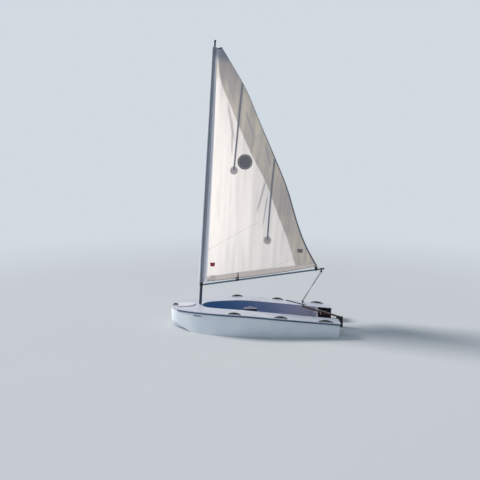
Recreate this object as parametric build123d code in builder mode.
from build123d import *
import os
from math import acos, atan, cos, degrees, radians, sin, sqrt, tan

# Catboat sailing dinghy, in millimetres.
# +X is the bow, +Y is port, +Z is up. The origin is on the centreline at the
# waterline, amidships. Stations are distances aft of the bow.

# Hull seen from above, at the edge of the deck
HULL_LENGTH = 3040
HALF_BEAM = 745
BEAM_STATION = 1470
NOSE_RADIUS = 385
STERN_NARROWING = 40
STERN_HALF_BEAM = HALF_BEAM - STERN_NARROWING
STERN_OVERRUN = 60

# Hull side: how far it stands inside the deck edge at two heights
SIDE_LOW_Z = -150
SIDE_HIGH_Z = 430
SIDE_INSET_LOW = 98
SIDE_INSET_HIGH = 12
STEM_INSET_LOW = 8
TRANSOM_INSET = 10

# Bottom ahead of the stem: station, height of the keel, deadrise in degrees
FOREFOOT_STATION = -40
FOREFOOT_KEEL = 101
FOREFOOT_DEADRISE = 60

# Bottom: station, height of the keel, height of the chine
BOTTOM_LINES = (
    (30, -8, 165),
    (38, -17, 163.5),
    (46, -25, 161.5),
    (55, -33, 159),
    (65, -41, 156),
    (76, -48, 152.5),
    (88, -55, 148.5),
    (102, -62, 143.5),
    (118, -68.5, 137.5),
    (136, -75, 130.5),
    (156, -81.5, 122),
    (180, -88, 112),
    (210, -94, 98.5),
    (250, -100, 79.5),
    (300, -105, 55),
    (350, -108, 32),
    (400, -109.5, 11.5),
    (450, -110.5, -5),
    (500, -111, -17),
    (575, -112.5, -27),
    (650, -114, -32),
    (1000, -121, -38),
    (1500, -130, -45),
    (HULL_LENGTH + STERN_OVERRUN, -105, -39),
)
SECTION_MARGIN = 255

# Sheer line: distance aft of the bow, height, radius of the bend there
SHEER_LINE = (
    (-60, 388, 0),
    (820, 408, 12000),
    (1370, 400, 4000),
    (HULL_LENGTH + STERN_OVERRUN, 252, 0),
)

# Deck
DECK_THICKNESS = 10
DECK_INNER_LIP = 5
SLOPE_STEP = 1

# Cockpit well, seen from above
COCKPIT_TIP_STATION = 584
COCKPIT_NOSE_RADIUS = 265
COCKPIT_BEAM_STATION = 1620
SIDE_DECK_WIDTH = 352
COCKPIT_NARROWING = 4
COCKPIT_FLOOR_Z = 50
LINER_THICKNESS = 6
LINER_GAP = 0.3

# Raised panel on the foredeck
PANEL_FRONT_STATION = 147
PANEL_CENTRE_STATION = 309
PANEL_HALF_WIDTH = 142
PANEL_HEIGHT = 16
PANEL_EDGE_INSET = 85
PANEL_ROUND = 5

# Rub strake under the edge of the deck
STRAKE_HEIGHT = 26
STRAKE_EDGE_INSET = 2
STRAKE_START_STATION = 165
SEAT_GAP = 0.3

# Grab handles: name, station, length
AFT_HANDLE_SETBACK = 255
HANDLES = (
    ("fore", 1208, 235),
    ("middle", 2010, 235),
    ("aft", HULL_LENGTH - AFT_HANDLE_SETBACK, 265),
)
HANDLE_HEIGHT = 35
HANDLE_STRAP = 18
HANDLE_FOOT = 30
HANDLE_WIDTH = 30
HANDLE_EDGE_INSET = 42
HANDLE_ROUND = 6
BOW_HANDLE_STATION = 86
BOW_HANDLE_LENGTH = 110
BOW_HANDLE_FOOT = 20

# Mast, leaning aft
MAST_STATION = 546
MAST_RAKE = 3.7
MAST_DECK_Z = 410
MAST_HEEL_DEPTH = 330
MAST_RADIUS = 25
MAST_TAPER_START = 2300
MAST_TOP = 4706
MAST_TOP_RADIUS = 16
MAST_WALL = 2.5
MAST_BORE_GAP = 1
MAST_HEEL_GAP = 0.3
MAST_CAP_HEIGHT = 22
MAST_CAP_RADIUS = 21
MAST_CAP_PLUG = 30
MAST_CAP_ROUND = 5
COLLAR_RADIUS = 34
COLLAR_HEIGHT = 8
COLLAR_DEPTH = 30
COLLAR_GAP = 0.5
COLLAR_ROUND = 4

# Boom, swung towards starboard as it is sailed
BOOM_SWING = 13
BOOM_RADIUS = 16
BOOM_START = 62
BOOM_END = 2372
BOOM_START_HEIGHT = 375
BOOM_RISE = 0.1577
BOOM_CAP_LENGTH = 24
BOOM_CAP_RADIUS = 18
BOOM_CAP_ROUND = 5

# Gooseneck
GOOSENECK_RADIUS = 33
GOOSENECK_HEIGHT = 52
TONGUE_THICKNESS = 12
TONGUE_HEIGHT = 18
TONGUE_LENGTH = 60
FIT_GAP = 0.3

# Luff sleeve round the mast
SLEEVE_BOTTOM = 424
SLEEVE_TOP = 4612
SLEEVE_CLOTH = 3
SLEEVE_TAIL_LOW = 95
SLEEVE_TAIL_HIGH = 66
SLEEVE_TAIL_HALF = 2.5
SLEEVE_LOOSE_LOW = 26
SLEEVE_LOOSE_HIGH = 19

# Sail: height at the luff, then distance from the mast and height at the
# leech, then the belly to starboard and the sag, as shares of the chord
SAIL_THICKNESS = 4
SAIL_SECTIONS = (
    (432, 2225, 782, 0.02, 0.018),
    (850, 1964, 1182, 0.06, 0),
    (1350, 1770, 1584, 0.085, 0),
    (2050, 1518, 2224, 0.095, 0),
    (2650, 1250, 2752, 0.095, 0),
    (3350, 901, 3400, 0.085, 0),
    (3850, 627, 3920, 0.07, 0),
    (4350, 342, 4332, 0.05, 0),
    (4600, 122, 4627, 0.02, 0),
)

# Fittings on the boom: distance from the mast
END_BLOCK_POSITION = 2335
MIDDLE_BLOCK_POSITION = 672
CLEW_POSITION = 2205
STRAP_WALL = 5
STRAP_WIDTH = 22
BLOCK_RADIUS = 21
BLOCK_THICKNESS = 16
BLOCK_DROP = 46
MIDDLE_BLOCK_RADIUS = 26
MIDDLE_BLOCK_HOLE = 12
MIDDLE_BLOCK_OFFSET = 30
MIDDLE_BLOCK_RISE = 42
MIDDLE_POST_HEIGHT = 150
MIDDLE_POST_WIDTH = 16
MIDDLE_POST_THICKNESS = 6
CLEW_LENGTH = 52
CLEW_THICKNESS = 12
CLEW_GAP = 5.5

# Mainsheet fittings on the deck
TRAVELLER_SETBACK = 437
TRAVELLER_INSET = 12
DECK_BLOCK_SETBACK = 550
DECK_BLOCK_INSET = 185
EYE_HEIGHT = 18
EYE_RADIUS = 9
EYE_HOLE = 4.5
EYE_THICKNESS = 6
EYE_BASE_RADIUS = 14
EYE_BASE_THICKNESS = 4
DECK_BLOCK_RISE = 34

# Daggerboard and its case
BOARD_STATION = 1475
BOARD_CHORD = 240
BOARD_THICKNESS = 20
BOARD_CLEARANCE = 5
BOARD_BOTTOM_Z = -550
BOARD_TOP_Z = 345
BOARD_TIP_ROUND = 60
BOARD_EDGE_CHAMFER = 7
CASE_TOP_Z = 300
CASE_WALL = 12
CASE_FLANGE_WIDTH = 16
CASE_FLANGE_THICKNESS = 10
BOARD_HANDLE_HEIGHT = 26
BOARD_HANDLE_THICKNESS = 20
BOARD_HANDLE_ROUND = 5

# Stern well
LINING_LENGTH = 252
LINING_THICKNESS = 8
LINING_END_GAP = 8
RIB_WIDTH = 42
RIB_DEPTH = 26

# Rudder hangings
PINTLE_SETBACK = 24
PINTLE_RADIUS = 5
PINTLE_GAP = 0.05
EYE_RING_RADIUS = 12
EYE_RING_HEIGHT = 14
GUDGEON_PLATE = 4
GUDGEON_WIDTH = 44
GUDGEON_HEIGHT = 40
GUDGEON_LOWER_Z = -12
GUDGEON_UPPER_Z = 145
POST_WIDTH = 56
POST_DEPTH = 34
POST_TOP_Z = 180
POST_ROUND = 5
ARM_HEIGHT = 10

# Rudder head and blade
HEAD_FRONT = 14
HEAD_LENGTH = 118
HEAD_WEB = 14
HEAD_CHEEK = 12
HEAD_BOTTOM_Z = -58
HEAD_TOP_Z = 196
HEAD_BLOCK_BOTTOM_Z = 118
BLADE_THICKNESS = 16
BLADE_SIDE_GAP = 1.5
BLADE_PIVOT_SETBACK = 74
BLADE_PIVOT_Z = -14
BLADE_ROOT_RADIUS = 40
BLADE_BORE_RADIUS = 6.05
BLADE_BOLT_RADIUS = 6
BOLT_HEAD_RADIUS = 11
BOLT_HEAD_HEIGHT = 5
BLADE_DEPTH = 500
BLADE_AFT = 118
BLADE_TIP_AFT = 88
BLADE_SHOULDER = 100
BLADE_TIP_ROUND = 45

# Tiller and its extension
TILLER_RISE = 0.28
TILLER_LENGTH = 640
TILLER_TAIL = 110
TILLER_HEIGHT = 30
TILLER_WIDTH = 28
TILLER_ROUND = 8
EXTENSION_RADIUS = 9
EXTENSION_LENGTH = 490
EXTENSION_SIDEWAYS = 40
EXTENSION_RISE = 19
STUB_SETBACK = 18
STUB_HEIGHT = 20

# Small parts of the hull
BOW_EYE_Z = 150
BOW_EYE_RADIUS = 9
BOW_EYE_HOLE = 4.5
BOW_EYE_THICKNESS = 8
BOW_EYE_REACH = 10
DRAIN_RADIUS = 17
DRAIN_THICKNESS = 7
DRAIN_Y = 520
DRAIN_Z = 75
DRAIN_CHAMFER = 2

# Worked out from the sizes above
SECTION_HALF_WIDTH = HALF_BEAM + SECTION_MARGIN
SECTION_TOP = 2 * SECTION_HALF_WIDTH
COCKPIT_HALF_BEAM = HALF_BEAM - SIDE_DECK_WIDTH
HALF_LENGTH = HULL_LENGTH / 2
TRANSOM_X = -HALF_LENGTH + TRANSOM_INSET
MAST_X = HALF_LENGTH - MAST_STATION
LINER_FLOOR_Z = COCKPIT_FLOOR_Z + LINER_THICKNESS
WELL_GROW = LINER_THICKNESS + LINER_GAP
BOARD_X = HALF_LENGTH - BOARD_STATION
PINTLE_X = TRANSOM_X - PINTLE_SETBACK
RAKE = radians(MAST_RAKE)
SWING = radians(BOOM_SWING)

# Frame of the rig: origin where the mast passes the deck, Z up the mast, X
# along the boom's side of the mast and Y towards starboard
MAST_AXIS = Vector(-sin(RAKE), 0, cos(RAKE))
MAST_AFT = Vector(-cos(RAKE), 0, -sin(RAKE))
RIG_X = MAST_AFT * cos(SWING) + Vector(0, -1, 0) * sin(SWING)
MAST_FOOT = Vector(MAST_X, 0, MAST_DECK_Z)
RIG = Plane(origin=MAST_FOOT, x_dir=RIG_X, z_dir=MAST_AXIS)
# Plane of the sail: its X runs aft along the boom, its Y up the mast
RIG_SIDE = Plane(origin=MAST_FOOT, x_dir=RIG_X, z_dir=-RIG.y_dir)

os.makedirs("parts", exist_ok=True)


def station_x(station):
    return HALF_LENGTH - station


def sheer_z(x):
    """Height of the sheer line, taking its bends as corners."""
    station = HALF_LENGTH - x
    for (s0, z0, _), (s1, z1, _) in zip(SHEER_LINE, SHEER_LINE[1:]):
        if station <= s1:
            return z0 + (z1 - z0) * (station - s0) / (s1 - s0)
    return SHEER_LINE[-1][1]


def sheer_slope(x):
    return (sheer_z(x + SLOPE_STEP) - sheer_z(x - SLOPE_STEP)) / (2 * SLOPE_STEP)


def plan_outline(tip, nose, beam_station, half_beam, aft, aft_half_beam):
    """Closed outline seen from above: round nose, curved sides, flat end."""
    side = ((beam_station - tip - nose) ** 2 + half_beam**2 - nose**2) / (2 * (half_beam - nose))
    centre_x = beam_station
    centre_y = half_beam - side
    reach = side / (side - nose)
    touch_station = centre_x + (tip + nose - centre_x) * reach
    touch_y = centre_y - centre_y * reach
    widest = (station_x(beam_station), half_beam)
    touch = (station_x(touch_station), touch_y)
    corner = (station_x(aft), aft_half_beam)
    with BuildSketch() as outline:
        with BuildLine():
            ThreePointArc(touch, (station_x(tip), 0), (touch[0], -touch[1]))
            TangentArc(widest, touch, tangent=(1, 0))
            TangentArc(widest, corner, tangent=(-1, 0))
            Line(corner, (corner[0], -corner[1]))
            TangentArc((widest[0], -widest[1]), (corner[0], -corner[1]), tangent=(-1, 0))
            TangentArc((widest[0], -widest[1]), (touch[0], -touch[1]), tangent=(1, 0))
        make_face()
    return outline.sketch


def deck_outline(grow):
    return plan_outline(
        -grow,
        NOSE_RADIUS + grow,
        BEAM_STATION,
        HALF_BEAM + grow,
        HULL_LENGTH + grow,
        STERN_HALF_BEAM + grow,
    )


def side_outline(side_inset, stem_inset):
    return plan_outline(
        stem_inset,
        NOSE_RADIUS - side_inset,
        BEAM_STATION,
        HALF_BEAM - side_inset,
        HULL_LENGTH - TRANSOM_INSET,
        STERN_HALF_BEAM - side_inset,
    )


def cockpit_outline(grow, aft=HULL_LENGTH + STERN_OVERRUN):
    return plan_outline(
        COCKPIT_TIP_STATION - grow,
        COCKPIT_NOSE_RADIUS + grow,
        COCKPIT_BEAM_STATION,
        COCKPIT_HALF_BEAM + grow,
        aft,
        COCKPIT_HALF_BEAM - COCKPIT_NARROWING + grow,
    )


def raised(outline, low, high):
    """The outline as an upright block between two heights."""
    with BuildPart() as block:
        with BuildSketch(Plane.XY.offset(low)):
            add(outline)
        extrude(amount=high - low)
    return block.part


def topsides(grow):
    """Flared sides of the hull, as a tapering block."""
    with BuildPart() as block:
        with BuildSketch(Plane.XY.offset(SIDE_LOW_Z)):
            add(side_outline(SIDE_INSET_LOW - grow, STEM_INSET_LOW - grow))
        with BuildSketch(Plane.XY.offset(SIDE_HIGH_Z)):
            add(side_outline(SIDE_INSET_HIGH - grow, SIDE_INSET_HIGH - grow))
        loft(ruled=True)
    return block.part


def edge_breadth(station, front, nose, beam, length):
    """Half breadth of a plan outline, on its nose circle, side arc or aft arc."""
    if station > BEAM_STATION:
        run = length - BEAM_STATION
        radius = (run**2 + STERN_NARROWING**2) / (2 * STERN_NARROWING)
    else:
        run = BEAM_STATION - front - nose
        radius = (run**2 + beam**2 - nose**2) / (2 * (beam - nose))
        if station < front + nose - nose * run / (radius - nose):
            return sqrt(nose**2 - (front + nose - station) ** 2)
    return beam - radius + sqrt(radius**2 - (station - BEAM_STATION) ** 2)


def side_breadth(station, z):
    """Half breadth of the flared side of the hull at a height."""
    share = (z - SIDE_LOW_Z) / (SIDE_HIGH_Z - SIDE_LOW_Z)
    inset = SIDE_INSET_LOW + (SIDE_INSET_HIGH - SIDE_INSET_LOW) * share
    stem = STEM_INSET_LOW + (SIDE_INSET_HIGH - STEM_INSET_LOW) * share
    return edge_breadth(station, stem, NOSE_RADIUS - inset, HALF_BEAM - inset, HULL_LENGTH - TRANSOM_INSET)


def above_bottom():
    """Everything above the V bottom, whose chine falls evenly from the bow."""
    sections = [(FOREFOOT_STATION, FOREFOOT_KEEL, tan(radians(FOREFOOT_DEADRISE)))]
    sections += [
        (station, keel, (chine - keel) / side_breadth(station, chine))
        for station, keel, chine in BOTTOM_LINES
    ]
    with BuildPart() as block:
        for station, keel, slope in sections:
            rise = SECTION_HALF_WIDTH * slope
            with BuildSketch(Plane.YZ.offset(station_x(station))):
                with BuildLine():
                    Polyline(
                        (0, keel),
                        (SECTION_HALF_WIDTH, keel + rise),
                        (SECTION_HALF_WIDTH, SECTION_TOP),
                        (-SECTION_HALF_WIDTH, SECTION_TOP),
                        (-SECTION_HALF_WIDTH, keel + rise),
                        close=True,
                    )
                make_face()
        loft(ruled=True)
    return block.part


def sheer_band(low, high):
    """Slab between two heights above the sheer line, across the whole boat."""
    points = [(station_x(station), z) for station, z, _ in SHEER_LINE]
    bends = [bend for _, _, bend in SHEER_LINE[1:-1]]
    with BuildPart() as band:
        with BuildSketch(Plane.XZ):
            with BuildLine():
                FilletPolyline(*[(x, z + low) for x, z in points], radius=bends)
                FilletPolyline(*[(x, z + high) for x, z in points], radius=bends)
                Line((points[0][0], points[0][1] + low), (points[0][0], points[0][1] + high))
                Line((points[-1][0], points[-1][1] + low), (points[-1][0], points[-1][1] + high))
            make_face()
        extrude(amount=SECTION_HALF_WIDTH, both=True)
    return band.part


def save(part, name):
    part.label = name
    export_step(part, f"parts/{name}.step")


def deck_plane(x, y, turn=0, lift=0):
    """Plane on the deck at a point, turned about its own upright."""
    slope = sheer_slope(x)
    base = Plane(origin=(x, y, sheer_z(x) + lift), x_dir=(1, 0, slope), z_dir=(-slope, 0, 1))
    return base.rotated((0, 0, turn))


def upright(plane):
    """Plane standing on another along its X, with Y up."""
    return Plane(origin=plane.origin, x_dir=plane.x_dir, z_dir=-plane.y_dir)


# Hull: solid under the deck, with the cockpit well, mast bore and board slot
deck_underside = sheer_band(-DECK_THICKNESS, SECTION_TOP)
bottom_region = above_bottom()
hull_sides = topsides(0)
well = raised(cockpit_outline(WELL_GROW), COCKPIT_FLOOR_Z, SECTION_TOP)

with BuildPart() as hull:
    add(hull_sides)
    add(bottom_region, mode=Mode.INTERSECT)
    add(deck_underside, mode=Mode.SUBTRACT)
    add(well, mode=Mode.SUBTRACT)
    with BuildSketch(RIG.offset(-MAST_HEEL_DEPTH - MAST_HEEL_GAP)):
        Circle(MAST_RADIUS + MAST_BORE_GAP)
    extrude(amount=MAST_HEEL_DEPTH * 2, mode=Mode.SUBTRACT)
    with BuildSketch(Plane.XY.offset(SIDE_LOW_Z)):
        with Locations((BOARD_X, 0)):
            Rectangle(BOARD_CHORD + 2 * BOARD_CLEARANCE, BOARD_THICKNESS + 2 * BOARD_CLEARANCE)
    extrude(amount=SIDE_HIGH_Z - SIDE_LOW_Z, mode=Mode.SUBTRACT)
save(hull.part, "hull")

# Deck: plate that follows the sheer and hangs over the sides and the well
deck_slab = sheer_band(-DECK_THICKNESS, 0)
deck_opening = raised(cockpit_outline(-DECK_INNER_LIP), 0, SECTION_TOP)

with BuildPart() as deck:
    with BuildSketch():
        add(deck_outline(0))
    extrude(amount=SECTION_TOP)
    add(deck_slab, mode=Mode.INTERSECT)
    add(deck_opening, mode=Mode.SUBTRACT)
    with BuildSketch(RIG.offset(-MAST_HEEL_DEPTH)):
        Circle(MAST_RADIUS + MAST_BORE_GAP)
    extrude(amount=MAST_HEEL_DEPTH * 2, mode=Mode.SUBTRACT)
save(deck.part, "deck")

# Cockpit liner: floor and walls of the well
liner_edge = cockpit_outline(LINER_THICKNESS, HULL_LENGTH - TRANSOM_INSET)
liner_outside = raised(liner_edge, COCKPIT_FLOOR_Z, SECTION_TOP)
liner_inside = raised(cockpit_outline(0), LINER_FLOOR_Z, SECTION_TOP)

with BuildPart() as cockpit_liner:
    add(liner_outside)
    add(liner_inside, mode=Mode.SUBTRACT)
    add(deck_underside, mode=Mode.SUBTRACT)
    with BuildSketch(Plane.XY.offset(COCKPIT_FLOOR_Z)):
        with Locations((BOARD_X, 0)):
            Rectangle(BOARD_CHORD + 2 * BOARD_CLEARANCE, BOARD_THICKNESS + 2 * BOARD_CLEARANCE)
    extrude(amount=LINER_THICKNESS, mode=Mode.SUBTRACT)
save(cockpit_liner.part, "cockpit_liner")

# Foredeck panel: raised D, round towards the mast
panel_slab = sheer_band(0, PANEL_HEIGHT)
panel_limit = raised(deck_outline(-PANEL_EDGE_INSET), 0, SECTION_TOP)
panel_front = station_x(PANEL_FRONT_STATION)
panel_centre = station_x(PANEL_CENTRE_STATION)

with BuildPart() as foredeck_panel:
    with BuildSketch():
        with BuildLine():
            Line((panel_front, -PANEL_HALF_WIDTH), (panel_front, PANEL_HALF_WIDTH))
            Line((panel_front, PANEL_HALF_WIDTH), (panel_centre, PANEL_HALF_WIDTH))
            ThreePointArc(
                (panel_centre, PANEL_HALF_WIDTH),
                (panel_centre - PANEL_HALF_WIDTH, 0),
                (panel_centre, -PANEL_HALF_WIDTH),
            )
            Line((panel_centre, -PANEL_HALF_WIDTH), (panel_front, -PANEL_HALF_WIDTH))
        make_face()
    extrude(amount=SECTION_TOP)
    add(panel_limit, mode=Mode.INTERSECT)
    add(panel_slab, mode=Mode.INTERSECT)
    fillet(foredeck_panel.edges().filter_by(Axis.Z, reverse=True).group_by(Axis.Z)[-1], PANEL_ROUND)
save(foredeck_panel.part, "foredeck_panel")

# Mast collar: ring on the deck that carries the mast
with BuildPart() as mast_collar:
    with BuildSketch(RIG.offset(-COLLAR_DEPTH)):
        Circle(COLLAR_RADIUS)
    extrude(amount=COLLAR_DEPTH + COLLAR_HEIGHT)
    add(sheer_band(-SECTION_TOP, 0), mode=Mode.SUBTRACT)
    fillet(mast_collar.edges().group_by(Axis.Z)[-1], COLLAR_ROUND)
    with BuildSketch(RIG.offset(-COLLAR_DEPTH)):
        Circle(MAST_RADIUS + COLLAR_GAP)
    extrude(amount=COLLAR_DEPTH + COLLAR_HEIGHT, mode=Mode.SUBTRACT)
save(mast_collar.part, "mast_collar")

# Rub strakes: dark bands under the overhang, one on each side
strake_slab = sheer_band(-DECK_THICKNESS - STRAKE_HEIGHT, -DECK_THICKNESS)
strake_limit = topsides(SEAT_GAP)
strake_length = HULL_LENGTH - TRANSOM_INSET - STRAKE_START_STATION
strake_middle_x = station_x(STRAKE_START_STATION) - strake_length / 2

for side_name, side in (("port", 1), ("starboard", -1)):
    with BuildPart() as rub_strake:
        with BuildSketch():
            add(deck_outline(-STRAKE_EDGE_INSET))
        extrude(amount=SECTION_TOP)
        add(strake_slab, mode=Mode.INTERSECT)
        with BuildSketch():
            with Locations((strake_middle_x, side * HALF_BEAM / 2)):
                Rectangle(strake_length, HALF_BEAM)
        extrude(amount=SECTION_TOP, mode=Mode.INTERSECT)
        add(strake_limit, mode=Mode.SUBTRACT)
    save(rub_strake.part, f"rub_strake_{side_name}")


def handle(plane, length, foot):
    """Low arched strap with a foot at each end, standing on a plane."""
    half = length / 2
    inner = half - foot
    with BuildPart() as strap:
        with BuildSketch(upright(plane)):
            with BuildLine():
                ThreePointArc((-half, 0), (0, HANDLE_HEIGHT), (half, 0))
                ThreePointArc((-inner, 0), (0, HANDLE_HEIGHT - HANDLE_STRAP), (inner, 0))
                Line((-half, 0), (-inner, 0))
                Line((inner, 0), (half, 0))
            make_face()
        extrude(amount=HANDLE_WIDTH / 2, both=True)
        fillet(strap.edges().filter_by(GeomType.CIRCLE), HANDLE_ROUND)
    return strap.part


def deck_edge_y(x):
    """Half breadth of the deck."""
    return edge_breadth(HALF_LENGTH - x, 0, NOSE_RADIUS, HALF_BEAM, HULL_LENGTH)


# Grab handles along the deck edge, three on each side
for side_name, side in (("port", 1), ("starboard", -1)):
    for handle_name, station, length in HANDLES:
        x = station_x(station)
        narrowing = deck_edge_y(x - SLOPE_STEP) - deck_edge_y(x + SLOPE_STEP)
        edge_turn = degrees(atan(narrowing / (2 * SLOPE_STEP)))
        spot = deck_plane(x, side * (deck_edge_y(x) - HANDLE_EDGE_INSET), -side * edge_turn, SEAT_GAP)
        save(handle(spot, length, HANDLE_FOOT), f"handle_{side_name}_{handle_name}")

# Bow handle, lengthwise ahead of the foredeck panel
bow_spot = deck_plane(station_x(BOW_HANDLE_STATION), 0, 0, SEAT_GAP)
save(handle(bow_spot, BOW_HANDLE_LENGTH, BOW_HANDLE_FOOT), "bow_handle")

# Bow eye: plate with a round hole, on the stem
eye_height_share = (BOW_EYE_Z - SIDE_LOW_Z) / (SIDE_HIGH_Z - SIDE_LOW_Z)
stem_x = HALF_LENGTH - STEM_INSET_LOW + (STEM_INSET_LOW - SIDE_INSET_HIGH) * eye_height_share
bow_eye_x = stem_x + BOW_EYE_REACH
stem_limit = topsides(SEAT_GAP)

with BuildPart() as bow_eye:
    with BuildSketch(Plane.XZ):
        with Locations((bow_eye_x, BOW_EYE_Z)):
            Circle(BOW_EYE_RADIUS)
        with Locations((bow_eye_x - BOW_EYE_REACH, BOW_EYE_Z)):
            Rectangle(2 * BOW_EYE_REACH, 2 * BOW_EYE_RADIUS)
        with Locations((bow_eye_x, BOW_EYE_Z)):
            Circle(BOW_EYE_HOLE, mode=Mode.SUBTRACT)
    extrude(amount=BOW_EYE_THICKNESS / 2, both=True)
    add(stem_limit, mode=Mode.SUBTRACT)
save(bow_eye.part, "bow_eye")

# Drain plugs of the two side tanks, on the transom
with BuildPart() as drain_plugs:
    with BuildSketch(Plane.YZ.offset(TRANSOM_X - DRAIN_THICKNESS)):
        with Locations((DRAIN_Y, DRAIN_Z), (-DRAIN_Y, DRAIN_Z)):
            Circle(DRAIN_RADIUS)
    extrude(amount=DRAIN_THICKNESS)
    chamfer(drain_plugs.faces().group_by(Axis.X)[0].edges(), DRAIN_CHAMFER)
save(drain_plugs.part, "drain_plugs")

# Daggerboard case: walls round the slot and a flange on top
slot_length = BOARD_CHORD + 2 * BOARD_CLEARANCE
slot_width = BOARD_THICKNESS + 2 * BOARD_CLEARANCE

with BuildPart() as daggerboard_case:
    with BuildSketch(Plane.XY.offset(LINER_FLOOR_Z)):
        with Locations((BOARD_X, 0)):
            RectangleRounded(slot_length + 2 * CASE_WALL, slot_width + 2 * CASE_WALL, CASE_WALL)
    extrude(amount=CASE_TOP_Z - LINER_FLOOR_Z)
    with BuildSketch(Plane.XY.offset(CASE_TOP_Z - CASE_FLANGE_THICKNESS)):
        with Locations((BOARD_X, 0)):
            RectangleRounded(
                slot_length + 2 * CASE_WALL + 2 * CASE_FLANGE_WIDTH,
                slot_width + 2 * CASE_WALL + 2 * CASE_FLANGE_WIDTH,
                CASE_WALL + CASE_FLANGE_WIDTH,
            )
    extrude(amount=CASE_FLANGE_THICKNESS)
    with BuildSketch(Plane.XY.offset(LINER_FLOOR_Z)):
        with Locations((BOARD_X, 0)):
            Rectangle(slot_length, slot_width)
    extrude(amount=CASE_TOP_Z - LINER_FLOOR_Z, mode=Mode.SUBTRACT)
save(daggerboard_case.part, "daggerboard_case")

# Stern well: dark boards on its walls and a white rib ahead of each
lining_outside = raised(cockpit_outline(-SEAT_GAP), LINER_FLOOR_Z, SECTION_TOP)
lining_inside = raised(cockpit_outline(-SEAT_GAP - LINING_THICKNESS), 0, SECTION_TOP)
rib_inside = raised(cockpit_outline(-SEAT_GAP - RIB_DEPTH), 0, SECTION_TOP)
lining_aft_x = TRANSOM_X + LINING_END_GAP
lining_fore_x = lining_aft_x + LINING_LENGTH

for side_name, side in (("port", 1), ("starboard", -1)):
    with BuildPart() as stern_lining:
        with BuildSketch():
            with Locations((lining_aft_x + LINING_LENGTH / 2, side * HALF_BEAM / 2)):
                Rectangle(LINING_LENGTH, HALF_BEAM)
        extrude(amount=SECTION_TOP)
        add(lining_outside, mode=Mode.INTERSECT)
        add(lining_inside, mode=Mode.SUBTRACT)
        add(deck_underside, mode=Mode.SUBTRACT)
    save(stern_lining.part, f"stern_lining_{side_name}")

    with BuildPart() as stern_rib:
        with BuildSketch():
            with Locations((lining_fore_x + RIB_WIDTH / 2 + SEAT_GAP, side * HALF_BEAM / 2)):
                Rectangle(RIB_WIDTH, HALF_BEAM)
        extrude(amount=SECTION_TOP)
        add(lining_outside, mode=Mode.INTERSECT)
        add(rib_inside, mode=Mode.SUBTRACT)
        add(deck_underside, mode=Mode.SUBTRACT)
    save(stern_rib.part, f"stern_rib_{side_name}")

# Rudder post: stands on the floor at the transom and carries the upper gudgeon
with BuildPart() as rudder_post:
    with BuildSketch(Plane.XY.offset(LINER_FLOOR_Z)):
        with Locations((TRANSOM_X + POST_DEPTH / 2, 0)):
            Rectangle(POST_DEPTH, POST_WIDTH)
    extrude(amount=POST_TOP_Z - LINER_FLOOR_Z)
    fillet(rudder_post.faces().sort_by(Axis.Z)[-1].edges(), POST_ROUND)
save(rudder_post.part, "rudder_post")

# Gudgeons: a plate on the transom with an eye round the pintle
for gudgeon_name, z in (("lower", GUDGEON_LOWER_Z), ("upper", GUDGEON_UPPER_Z)):
    with BuildPart() as gudgeon:
        with BuildSketch(Plane.YZ.offset(TRANSOM_X - GUDGEON_PLATE)):
            with Locations((0, z)):
                RectangleRounded(GUDGEON_WIDTH, GUDGEON_HEIGHT, GUDGEON_PLATE)
        extrude(amount=GUDGEON_PLATE)
        with BuildSketch(Plane.XY.offset(z - EYE_RING_HEIGHT / 2)):
            with Locations((PINTLE_X, 0)):
                Circle(EYE_RING_RADIUS)
            with Locations((PINTLE_X + PINTLE_SETBACK / 2 - GUDGEON_PLATE / 2, 0)):
                Rectangle(PINTLE_SETBACK - GUDGEON_PLATE, 2 * EYE_RING_RADIUS)
        extrude(amount=EYE_RING_HEIGHT)
        with BuildSketch(Plane.XY.offset(z - EYE_RING_HEIGHT)):
            with Locations((PINTLE_X, 0)):
                Circle(PINTLE_RADIUS + PINTLE_GAP)
        extrude(amount=2 * EYE_RING_HEIGHT, mode=Mode.SUBTRACT)
    save(gudgeon.part, f"rudder_gudgeon_{gudgeon_name}")

# Traveller eye on the port deck
with BuildPart() as traveller_eye:
    traveller_spot = deck_plane(
        -HALF_LENGTH + TRAVELLER_SETBACK, COCKPIT_HALF_BEAM + TRAVELLER_INSET, 0, SEAT_GAP
    )
    with BuildSketch(traveller_spot):
        Circle(EYE_BASE_RADIUS)
    extrude(amount=EYE_BASE_THICKNESS)
    with BuildSketch(upright(traveller_spot)):
        with Locations((0, EYE_HEIGHT - EYE_RADIUS)):
            Circle(EYE_RADIUS)
            Circle(EYE_HOLE, mode=Mode.SUBTRACT)
    extrude(amount=EYE_THICKNESS / 2, both=True)
save(traveller_eye.part, "traveller_eye")

# Sheet block on the starboard deck: base, post and a round block
with BuildPart() as deck_sheet_block:
    block_spot = deck_plane(
        -HALF_LENGTH + DECK_BLOCK_SETBACK, -HALF_BEAM + DECK_BLOCK_INSET, 0, SEAT_GAP
    )
    with BuildSketch(block_spot):
        Circle(EYE_BASE_RADIUS)
    extrude(amount=EYE_BASE_THICKNESS)
    with BuildSketch(upright(block_spot)):
        with Locations((0, DECK_BLOCK_RISE)):
            Circle(BLOCK_RADIUS)
        with Locations((0, DECK_BLOCK_RISE / 2)):
            Rectangle(EYE_RADIUS, DECK_BLOCK_RISE)
    extrude(amount=BLOCK_THICKNESS / 2, both=True)
save(deck_sheet_block.part, "deck_sheet_block")

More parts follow.
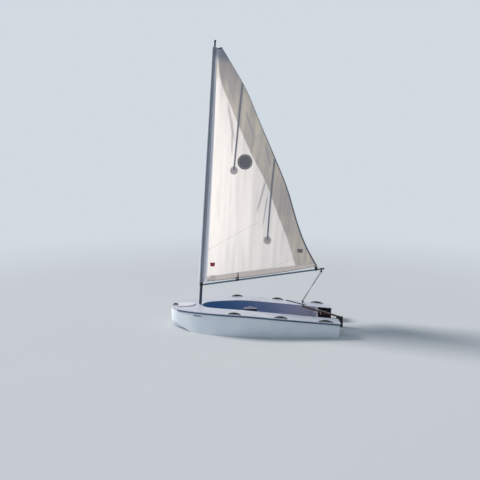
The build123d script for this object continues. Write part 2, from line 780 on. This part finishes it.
# Mast: tapered tube, closed by its wall at the heel
with BuildPart() as mast:
    with BuildSketch(RIG_SIDE):
        with BuildLine():
            Polyline(
                (0, -MAST_HEEL_DEPTH),
                (MAST_RADIUS, -MAST_HEEL_DEPTH),
                (MAST_RADIUS, MAST_TAPER_START),
                (MAST_TOP_RADIUS, MAST_TOP),
                (MAST_TOP_RADIUS - MAST_WALL, MAST_TOP),
                (MAST_RADIUS - MAST_WALL, MAST_TAPER_START),
                (MAST_RADIUS - MAST_WALL, -MAST_HEEL_DEPTH + MAST_WALL),
                (0, -MAST_HEEL_DEPTH + MAST_WALL),
                close=True,
            )
        make_face()
    revolve(axis=Axis(MAST_FOOT, MAST_AXIS))
save(mast.part, "mast")

# Mast cap: plug in the top of the tube, with a rim over it
with BuildPart() as mast_cap:
    with BuildSketch(RIG.offset(MAST_TOP - MAST_CAP_PLUG)):
        Circle(MAST_TOP_RADIUS - MAST_WALL - FIT_GAP)
    extrude(amount=MAST_CAP_PLUG + MAST_CAP_HEIGHT)
    with BuildSketch(RIG.offset(MAST_TOP)):
        Circle(MAST_CAP_RADIUS)
    extrude(amount=MAST_CAP_HEIGHT)
    fillet(mast_cap.edges().group_by(Axis.Z)[-1], MAST_CAP_ROUND)
save(mast_cap.part, "mast_cap")


def mast_radius(height):
    """Outer radius of the mast at a height above the deck."""
    if height < MAST_TAPER_START:
        return MAST_RADIUS
    share = (height - MAST_TAPER_START) / (MAST_TOP - MAST_TAPER_START)
    return MAST_RADIUS + (MAST_TOP_RADIUS - MAST_RADIUS) * share


def teardrop(radius, tail, ahead):
    """Round nose ahead of the mast, and straight sides that pass it and close at the tail."""
    lean = ahead / (tail + ahead)
    nose = (radius - SLEEVE_TAIL_HALF * lean) / (1 - lean)
    turn = acos((nose - SLEEVE_TAIL_HALF) / (tail + ahead))
    nose_x = nose * cos(turn) - ahead
    nose_y = nose * sin(turn)
    with BuildSketch() as section:
        with BuildLine():
            ThreePointArc((nose_x, nose_y), (-ahead - nose, 0), (nose_x, -nose_y))
            Line((nose_x, -nose_y), (tail, -SLEEVE_TAIL_HALF))
            Line((tail, -SLEEVE_TAIL_HALF), (tail, SLEEVE_TAIL_HALF))
            Line((tail, SLEEVE_TAIL_HALF), (nose_x, nose_y))
        make_face()
    return section.sketch


def between(height, low, high):
    """A size of the sleeve at a height, from its sizes at the bottom and the top."""
    share = (height - SLEEVE_BOTTOM) / (SLEEVE_TOP - SLEEVE_BOTTOM)
    return low + (high - low) * share


def sleeve_tail(height):
    """Distance from the mast to the after edge of the sleeve."""
    return between(height, SLEEVE_TAIL_LOW, SLEEVE_TAIL_HIGH)


# Luff sleeve: the pocket of the sail that the mast stands in
with BuildPart() as luff_sleeve:
    for height in (SLEEVE_BOTTOM, MAST_TAPER_START, SLEEVE_TOP):
        with BuildSketch(RIG.offset(height)):
            looseness = between(height, SLEEVE_LOOSE_LOW, SLEEVE_LOOSE_HIGH)
            add(teardrop(mast_radius(height) + SLEEVE_CLOTH, sleeve_tail(height), looseness))
    loft(ruled=True)
    with BuildSketch(RIG_SIDE):
        with BuildLine():
            Polyline(
                (0, 0),
                (MAST_RADIUS + FIT_GAP, 0),
                (MAST_RADIUS + FIT_GAP, MAST_TAPER_START),
                (MAST_TOP_RADIUS + FIT_GAP, MAST_TOP),
                (0, MAST_TOP),
                close=True,
            )
        make_face()
    revolve(axis=Axis(MAST_FOOT, MAST_AXIS), mode=Mode.SUBTRACT)
save(luff_sleeve.part, "luff_sleeve")


def sail_plane(luff_height, leech_distance, leech_height, belly, sag):
    """Plane across the sail from its luff: X towards the leech, Y towards the belly."""
    start = Vector(sleeve_tail(luff_height) + FIT_GAP, luff_height)
    chord = Vector(leech_distance, leech_height) - start
    forward = (RIG.x_dir * chord.X + RIG.z_dir * chord.Y).normalized()
    bulge = RIG.y_dir * belly - RIG.z_dir * sag
    origin = RIG.origin + RIG.x_dir * start.X + RIG.z_dir * start.Y
    return Plane(origin=origin, x_dir=forward, z_dir=forward.cross(bulge)), chord.length


# Sail: bellied to starboard, with the luff at the sleeve
with BuildPart() as sail:
    for luff_height, leech_distance, leech_height, belly, sag in SAIL_SECTIONS:
        plane, chord = sail_plane(luff_height, leech_distance, leech_height, belly, sag)
        depth = sqrt(belly**2 + sag**2) * chord
        half = SAIL_THICKNESS / 2
        with BuildSketch(plane):
            with BuildLine():
                ThreePointArc((0, half), (chord / 2, depth + half), (chord, half))
                Line((chord, half), (chord, -half))
                ThreePointArc((chord, -half), (chord / 2, depth - half), (0, -half))
                Line((0, -half), (0, half))
            make_face()
    loft(ruled=True)
save(sail.part, "sail")

# Frame of the boom: X along it from the gooseneck, Z up
boom_dir = (RIG.x_dir + RIG.z_dir * BOOM_RISE).normalized()
boom_origin = RIG.origin + RIG.z_dir * (BOOM_START_HEIGHT - BOOM_START * BOOM_RISE)
BOOM = Plane(origin=boom_origin, x_dir=boom_dir, z_dir=boom_dir.cross(RIG.y_dir))


def along_boom(distance):
    """Plane across the boom at a distance from the mast, X up and Z aft."""
    origin = BOOM.origin + BOOM.x_dir * distance
    return Plane(origin=origin, x_dir=BOOM.z_dir, z_dir=BOOM.x_dir)


def beside_boom(distance):
    """Plane along the boom at a distance from the mast, X aft and Y up."""
    origin = BOOM.origin + BOOM.x_dir * distance
    return Plane(origin=origin, x_dir=BOOM.x_dir, z_dir=-BOOM.y_dir)


# Gooseneck: collar on the mast and a tongue that the boom is pushed on to
with BuildPart() as gooseneck:
    with BuildSketch(RIG.offset(BOOM_START_HEIGHT - GOOSENECK_HEIGHT / 2)):
        Circle(GOOSENECK_RADIUS)
    extrude(amount=GOOSENECK_HEIGHT)
    with BuildSketch(beside_boom(0)):
        with Locations(((GOOSENECK_RADIUS + BOOM_START + TONGUE_LENGTH) / 2, 0)):
            Rectangle(BOOM_START + TONGUE_LENGTH - GOOSENECK_RADIUS + TONGUE_THICKNESS, TONGUE_HEIGHT)
    extrude(amount=TONGUE_THICKNESS / 2, both=True)
    with BuildSketch(RIG.offset(BOOM_START_HEIGHT - GOOSENECK_HEIGHT)):
        Circle(MAST_RADIUS + FIT_GAP)
    extrude(amount=2 * GOOSENECK_HEIGHT, mode=Mode.SUBTRACT)
save(gooseneck.part, "gooseneck")

# Boom: round bar, slotted for the tongue
with BuildPart() as boom:
    with BuildSketch(along_boom(BOOM_START)):
        Circle(BOOM_RADIUS)
    extrude(amount=BOOM_END - BOOM_START)
    with BuildSketch(along_boom(BOOM_START)):
        Rectangle(TONGUE_HEIGHT + 2 * FIT_GAP, TONGUE_THICKNESS + 2 * FIT_GAP)
    extrude(amount=TONGUE_LENGTH + TONGUE_THICKNESS, mode=Mode.SUBTRACT)
save(boom.part, "boom")

# Boom end cap
with BuildPart() as boom_end_cap:
    with BuildSketch(along_boom(BOOM_END)):
        Circle(BOOM_CAP_RADIUS)
    extrude(amount=BOOM_CAP_LENGTH)
    fillet(boom_end_cap.edges().sort_by_distance(BOOM.origin)[-1], BOOM_CAP_ROUND)
save(boom_end_cap.part, "boom_end_cap")

# Mainsheet block hanging under the boom's end
with BuildPart() as boom_end_block:
    with BuildSketch(along_boom(END_BLOCK_POSITION - STRAP_WIDTH / 2)):
        Circle(BOOM_RADIUS + FIT_GAP + STRAP_WALL)
    extrude(amount=STRAP_WIDTH)
    with BuildSketch(beside_boom(END_BLOCK_POSITION)):
        with Locations((0, -BLOCK_DROP)):
            Circle(BLOCK_RADIUS)
        with Locations((0, -BLOCK_DROP / 2)):
            Rectangle(STRAP_WIDTH / 2, BLOCK_DROP)
    extrude(amount=BLOCK_THICKNESS / 2, both=True)
    with BuildSketch(along_boom(END_BLOCK_POSITION - STRAP_WIDTH)):
        Circle(BOOM_RADIUS + FIT_GAP)
    extrude(amount=2 * STRAP_WIDTH, mode=Mode.SUBTRACT)
save(boom_end_block.part, "boom_end_block")

# Middle block: strap on the boom, a ring to port of the sail and a short post
with BuildPart() as boom_middle_block:
    with BuildSketch(along_boom(MIDDLE_BLOCK_POSITION - STRAP_WIDTH / 2)):
        Circle(BOOM_RADIUS + FIT_GAP + STRAP_WALL)
        with Locations((0, MIDDLE_BLOCK_OFFSET / 2)):
            Rectangle(2 * STRAP_WALL, MIDDLE_BLOCK_OFFSET)
    extrude(amount=STRAP_WIDTH)
    ring_face = beside_boom(MIDDLE_BLOCK_POSITION).offset(MIDDLE_BLOCK_OFFSET - MIDDLE_POST_THICKNESS)
    with BuildSketch(ring_face):
        with Locations((0, MIDDLE_BLOCK_RISE)):
            Circle(MIDDLE_BLOCK_RADIUS)
        with Locations((0, MIDDLE_BLOCK_RISE / 4)):
            Rectangle(STRAP_WIDTH, MIDDLE_BLOCK_RISE / 2 + 2 * STRAP_WALL)
        with Locations((MIDDLE_BLOCK_RADIUS, MIDDLE_POST_HEIGHT / 2)):
            Rectangle(MIDDLE_POST_WIDTH, MIDDLE_POST_HEIGHT)
        with Locations((0, MIDDLE_BLOCK_RISE)):
            Circle(MIDDLE_BLOCK_HOLE, mode=Mode.SUBTRACT)
    extrude(amount=2 * MIDDLE_POST_THICKNESS)
    with BuildSketch(along_boom(MIDDLE_BLOCK_POSITION - STRAP_WIDTH)):
        Circle(BOOM_RADIUS + FIT_GAP)
    extrude(amount=2 * STRAP_WIDTH, mode=Mode.SUBTRACT)
save(boom_middle_block.part, "boom_middle_block")

# Clew fitting: holds the corner of the sail to the boom
luff_height, clew_distance, clew_height, _, _ = SAIL_SECTIONS[0]
foot_share = (CLEW_POSITION - sleeve_tail(luff_height)) / (clew_distance - sleeve_tail(luff_height))
foot_height = luff_height + (clew_height - luff_height) * foot_share
boom_height = BOOM_START_HEIGHT + (CLEW_POSITION - BOOM_START) * BOOM_RISE
boom_lean = atan(BOOM_RISE)
clew_rise = (foot_height - boom_height) * cos(boom_lean) - CLEW_GAP
clew_along = CLEW_POSITION / cos(boom_lean)

with BuildPart() as clew_fitting:
    with BuildSketch(beside_boom(clew_along)):
        with Locations((0, clew_rise / 2)):
            Rectangle(CLEW_LENGTH, clew_rise)
    extrude(amount=CLEW_THICKNESS / 2, both=True)
    with BuildSketch(along_boom(clew_along - CLEW_LENGTH / 2)):
        Circle(BOOM_RADIUS + FIT_GAP + STRAP_WALL)
    extrude(amount=CLEW_LENGTH)
    with BuildSketch(along_boom(clew_along - CLEW_LENGTH)):
        Circle(BOOM_RADIUS + FIT_GAP)
    extrude(amount=2 * CLEW_LENGTH, mode=Mode.SUBTRACT)
save(clew_fitting.part, "clew_fitting")

# Line of the tiller: it starts in the rudder head and rises forward
tiller_dir = Vector(1, 0, TILLER_RISE).normalized()
tiller_up = Vector(-TILLER_RISE, 0, 1).normalized()
tiller_foot = Vector(PINTLE_X, 0, HEAD_TOP_Z)


def across_tiller(distance):
    """Plane across the tiller at a distance ahead of the pintles, Y up."""
    return Plane(origin=tiller_foot + tiller_dir * distance, x_dir=(0, 1, 0), z_dir=tiller_dir)


# Rudder head: two cheeks, a web ahead and a block on top that takes the tiller
head_front_x = PINTLE_X - HEAD_FRONT
cheek_gap = BLADE_THICKNESS + 2 * BLADE_SIDE_GAP
pivot_x = PINTLE_X - BLADE_PIVOT_SETBACK

with BuildPart() as rudder_head:
    with BuildSketch(Plane.XY.offset(HEAD_BOTTOM_Z)):
        with Locations((head_front_x - HEAD_LENGTH / 2, 0)):
            Rectangle(HEAD_LENGTH, cheek_gap + 2 * HEAD_CHEEK)
    extrude(amount=HEAD_TOP_Z - HEAD_BOTTOM_Z)
    fillet(rudder_head.edges().filter_by(Axis.Z).group_by(Axis.X)[0], HEAD_CHEEK / 2)
    slot_middle = (head_front_x - HEAD_WEB - HEAD_LENGTH / 2, (HEAD_BOTTOM_Z + HEAD_BLOCK_BOTTOM_Z) / 2)
    with BuildSketch(Plane.XZ):
        with Locations(slot_middle):
            Rectangle(HEAD_LENGTH, HEAD_BLOCK_BOTTOM_Z - HEAD_BOTTOM_Z)
    extrude(amount=cheek_gap / 2, both=True, mode=Mode.SUBTRACT)
    with BuildSketch(Plane.XZ):
        with Locations((pivot_x, BLADE_PIVOT_Z)):
            Circle(BLADE_BOLT_RADIUS)
    extrude(amount=cheek_gap / 2 + HEAD_CHEEK, both=True, mode=Mode.SUBTRACT)
    with BuildSketch(across_tiller(-TILLER_TAIL)):
        with Locations((0, TILLER_HEIGHT)):
            Rectangle(TILLER_WIDTH + 2 * FIT_GAP, 2 * TILLER_HEIGHT)
    extrude(amount=2 * TILLER_TAIL, mode=Mode.SUBTRACT)
save(rudder_head.part, "rudder_head")

# Pintles: a pin down through each gudgeon, on an arm from the rudder head
with BuildPart() as rudder_pintles:
    for z in (GUDGEON_LOWER_Z, GUDGEON_UPPER_Z):
        arm_z = z + EYE_RING_HEIGHT / 2 + SEAT_GAP
        with BuildSketch(Plane.XY.offset(arm_z)):
            with Locations((PINTLE_X, 0)):
                Circle(EYE_RING_RADIUS)
            with Locations((PINTLE_X - HEAD_FRONT / 2, 0)):
                Rectangle(HEAD_FRONT, 2 * EYE_RING_RADIUS)
        extrude(amount=ARM_HEIGHT)
        with BuildSketch(Plane.XY.offset(z - EYE_RING_HEIGHT)):
            with Locations((PINTLE_X, 0)):
                Circle(PINTLE_RADIUS)
        extrude(amount=arm_z - z + EYE_RING_HEIGHT)
save(rudder_pintles.part, "rudder_pintles")

# Pivot bolt of the blade, with a round head on each cheek
with BuildPart() as blade_bolt:
    bolt_half = cheek_gap / 2 + HEAD_CHEEK
    with BuildSketch(Plane.XZ):
        with Locations((pivot_x, BLADE_PIVOT_Z)):
            Circle(BLADE_BOLT_RADIUS)
    extrude(amount=bolt_half, both=True)
    for end in (-1, 1):
        with BuildSketch(Plane.XZ.offset(end * bolt_half)):
            with Locations((pivot_x, BLADE_PIVOT_Z)):
                Circle(BOLT_HEAD_RADIUS)
        extrude(amount=end * BOLT_HEAD_HEIGHT)
save(blade_bolt.part, "blade_bolt")

# Rudder blade: swings up between the cheeks
with BuildPart() as rudder_blade:
    with BuildSketch(Plane.XZ):
        with Locations((pivot_x, BLADE_PIVOT_Z)):
            Circle(BLADE_ROOT_RADIUS)
        with BuildLine():
            Polyline(
                (pivot_x + BLADE_ROOT_RADIUS, BLADE_PIVOT_Z),
                (pivot_x + BLADE_ROOT_RADIUS, BLADE_PIVOT_Z - BLADE_DEPTH),
                (pivot_x - BLADE_TIP_AFT, BLADE_PIVOT_Z - BLADE_DEPTH),
                (pivot_x - BLADE_AFT, BLADE_PIVOT_Z - BLADE_SHOULDER),
                (pivot_x - BLADE_ROOT_RADIUS, BLADE_PIVOT_Z),
                close=True,
            )
        make_face()
    extrude(amount=BLADE_THICKNESS / 2, both=True)
    fillet(rudder_blade.edges().filter_by(Axis.Y).group_by(Axis.Z)[0], BLADE_TIP_ROUND)
    with BuildSketch(Plane.XZ):
        with Locations((pivot_x, BLADE_PIVOT_Z)):
            Circle(BLADE_BORE_RADIUS)
    extrude(amount=BLADE_THICKNESS, both=True, mode=Mode.SUBTRACT)
save(rudder_blade.part, "rudder_blade")

# Tiller: rounded bar in the socket of the rudder head
with BuildPart() as tiller:
    with BuildSketch(across_tiller(FIT_GAP - TILLER_TAIL)):
        with Locations((0, TILLER_HEIGHT / 2)):
            RectangleRounded(TILLER_WIDTH, TILLER_HEIGHT, TILLER_ROUND)
    extrude(amount=TILLER_TAIL + TILLER_LENGTH)
save(tiller.part, "tiller")

# Tiller extension: rod on a stub near the tiller's end, towards the port side
stub_foot = tiller_foot + tiller_dir * (TILLER_LENGTH - STUB_SETBACK)
stub_foot += tiller_up * (TILLER_HEIGHT + SEAT_GAP)
rod_foot = stub_foot + tiller_up * STUB_HEIGHT
rod_turn = radians(EXTENSION_SIDEWAYS)
rod_rise = radians(EXTENSION_RISE)
rod_dir = Vector(cos(rod_rise) * cos(rod_turn), cos(rod_rise) * sin(rod_turn), sin(rod_rise))

with BuildPart() as tiller_extension:
    with BuildSketch(Plane(origin=stub_foot, x_dir=(0, 1, 0), z_dir=tiller_up)):
        Circle(EXTENSION_RADIUS)
    extrude(amount=STUB_HEIGHT)
    with BuildSketch(Plane(origin=rod_foot - rod_dir * EXTENSION_RADIUS, z_dir=rod_dir)):
        Circle(EXTENSION_RADIUS)
    extrude(amount=EXTENSION_LENGTH)
save(tiller_extension.part, "tiller_extension")

# Daggerboard: flat board with rounded lower corners and thinned edges
with BuildPart() as daggerboard:
    with BuildSketch(Plane.XZ) as board_face:
        with Locations((BOARD_X, (BOARD_TOP_Z + BOARD_BOTTOM_Z) / 2)):
            Rectangle(BOARD_CHORD, BOARD_TOP_Z - BOARD_BOTTOM_Z)
        fillet(board_face.vertices().group_by(Axis.Y)[0], BOARD_TIP_ROUND)
    extrude(amount=BOARD_THICKNESS / 2, both=True)
    chamfer(daggerboard.edges().filter_by(Axis.Z), BOARD_EDGE_CHAMFER)
save(daggerboard.part, "daggerboard")

# Daggerboard handle: a strip on each side of the board's head, resting on the case
with BuildPart() as daggerboard_handle:
    with BuildSketch(Plane.XY.offset(CASE_TOP_Z + SEAT_GAP)):
        with Locations(
            (BOARD_X, (BOARD_THICKNESS + BOARD_HANDLE_THICKNESS) / 2),
            (BOARD_X, -(BOARD_THICKNESS + BOARD_HANDLE_THICKNESS) / 2),
        ):
            Rectangle(BOARD_CHORD + 2 * CASE_WALL, BOARD_HANDLE_THICKNESS)
    extrude(amount=BOARD_HANDLE_HEIGHT)
    top_edges = daggerboard_handle.faces().group_by(Axis.Z)[-1].edges()
    fillet(top_edges, BOARD_HANDLE_ROUND)
save(daggerboard_handle.part, "daggerboard_handle")
